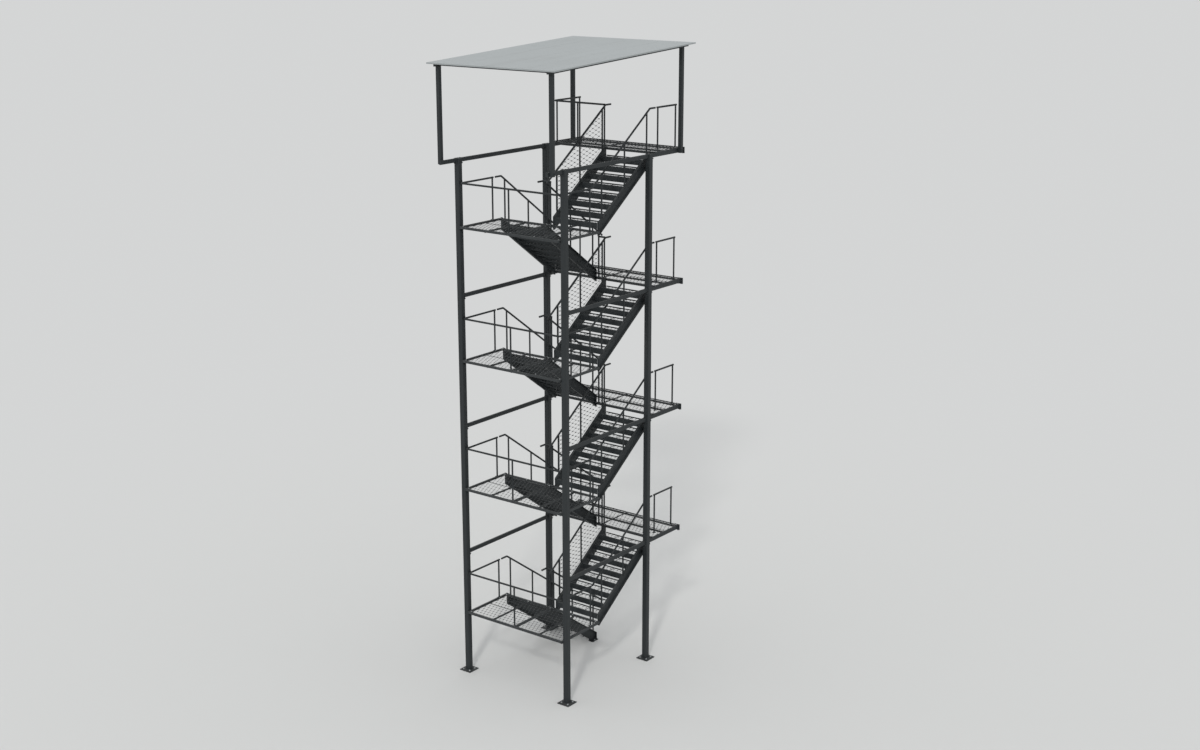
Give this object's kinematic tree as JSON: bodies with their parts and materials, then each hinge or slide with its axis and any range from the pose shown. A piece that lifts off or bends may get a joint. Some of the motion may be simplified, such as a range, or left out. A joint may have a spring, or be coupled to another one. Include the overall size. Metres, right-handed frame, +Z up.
{
  "type": "fire escape stair",
  "caption": "Outdoor steel fire escape stair on columns: half-storey landings, open treads, tube rails, mesh panels and a flat sloping canopy, tied to a wall.",
  "frame": {"origin": "on the ground, under the middle of the canopy", "axes": "+X across the stair to the right as seen from the open front, +Y towards the building wall, +Z up"},
  "size_m": [3.91, 5.66, 16.22],
  "materials": {
    "frame_steel": "dark grey powder coat, satin",
    "stringer_steel": "dark grey powder coat, satin",
    "tread_steel": "dark grey, worn on the walked edges",
    "rail_steel": "dark grey powder coat, satin",
    "landing_steel": "dark grey powder coat, satin",
    "grating": "dark grey powder coated deck mesh, worn where it is walked on",
    "mesh": "dark grey powder coated mesh, satin",
    "roof_sheet": "mid grey coated sheet, matt",
    "roof_trim": "grey folded trim, matt"
  },
  "bodies": {
    "root": {"base_plates": "frame_steel", "column_front_left": "frame_steel", "column_front_right": "frame_steel", "column_rear_left": "frame_steel", "column_rear_right": "frame_steel", "side_beams_1": "frame_steel", "door_landing_frame_1": "landing_steel", "mid_landing_frame_1": "landing_steel", "gratings_1": "grating", "stringers_1": "stringer_steel", "treads_1": "tread_steel", "flight_rails_1": "rail_steel", "mid_guard_1": "rail_steel", "door_guard_1": "rail_steel", "side_beams_2": "frame_steel", "door_landing_frame_2": "landing_steel", "mid_landing_frame_2": "landing_steel", "gratings_2": "grating", "stringers_2": "stringer_steel", "treads_2": "tread_steel", "flight_rails_2": "rail_steel", "mid_guard_2": "rail_steel", "door_guard_2": "rail_steel", "side_beams_3": "frame_steel", "door_landing_frame_3": "landing_steel", "mid_landing_frame_3": "landing_steel", "gratings_3": "grating", "stringers_3": "stringer_steel", "treads_3": "tread_steel", "flight_rails_3": "rail_steel", "mid_guard_3": "rail_steel", "door_guard_3": "rail_steel", "side_beams_4": "frame_steel", "door_landing_frame_4": "landing_steel", "mid_landing_frame_4": "landing_steel", "gratings_4": "grating", "stringers_4": "stringer_steel", "treads_4": "tread_steel", "flight_rails_4": "rail_steel", "mid_guard_4": "rail_steel", "door_guard_4": "rail_steel", "guard_elbows": "rail_steel", "mesh_panels": "mesh", "canopy_posts": "frame_steel", "roof_frame": "frame_steel", "roof_panel": "roof_sheet", "roof_trim": "roof_trim"}
  },
  "joints": []
}
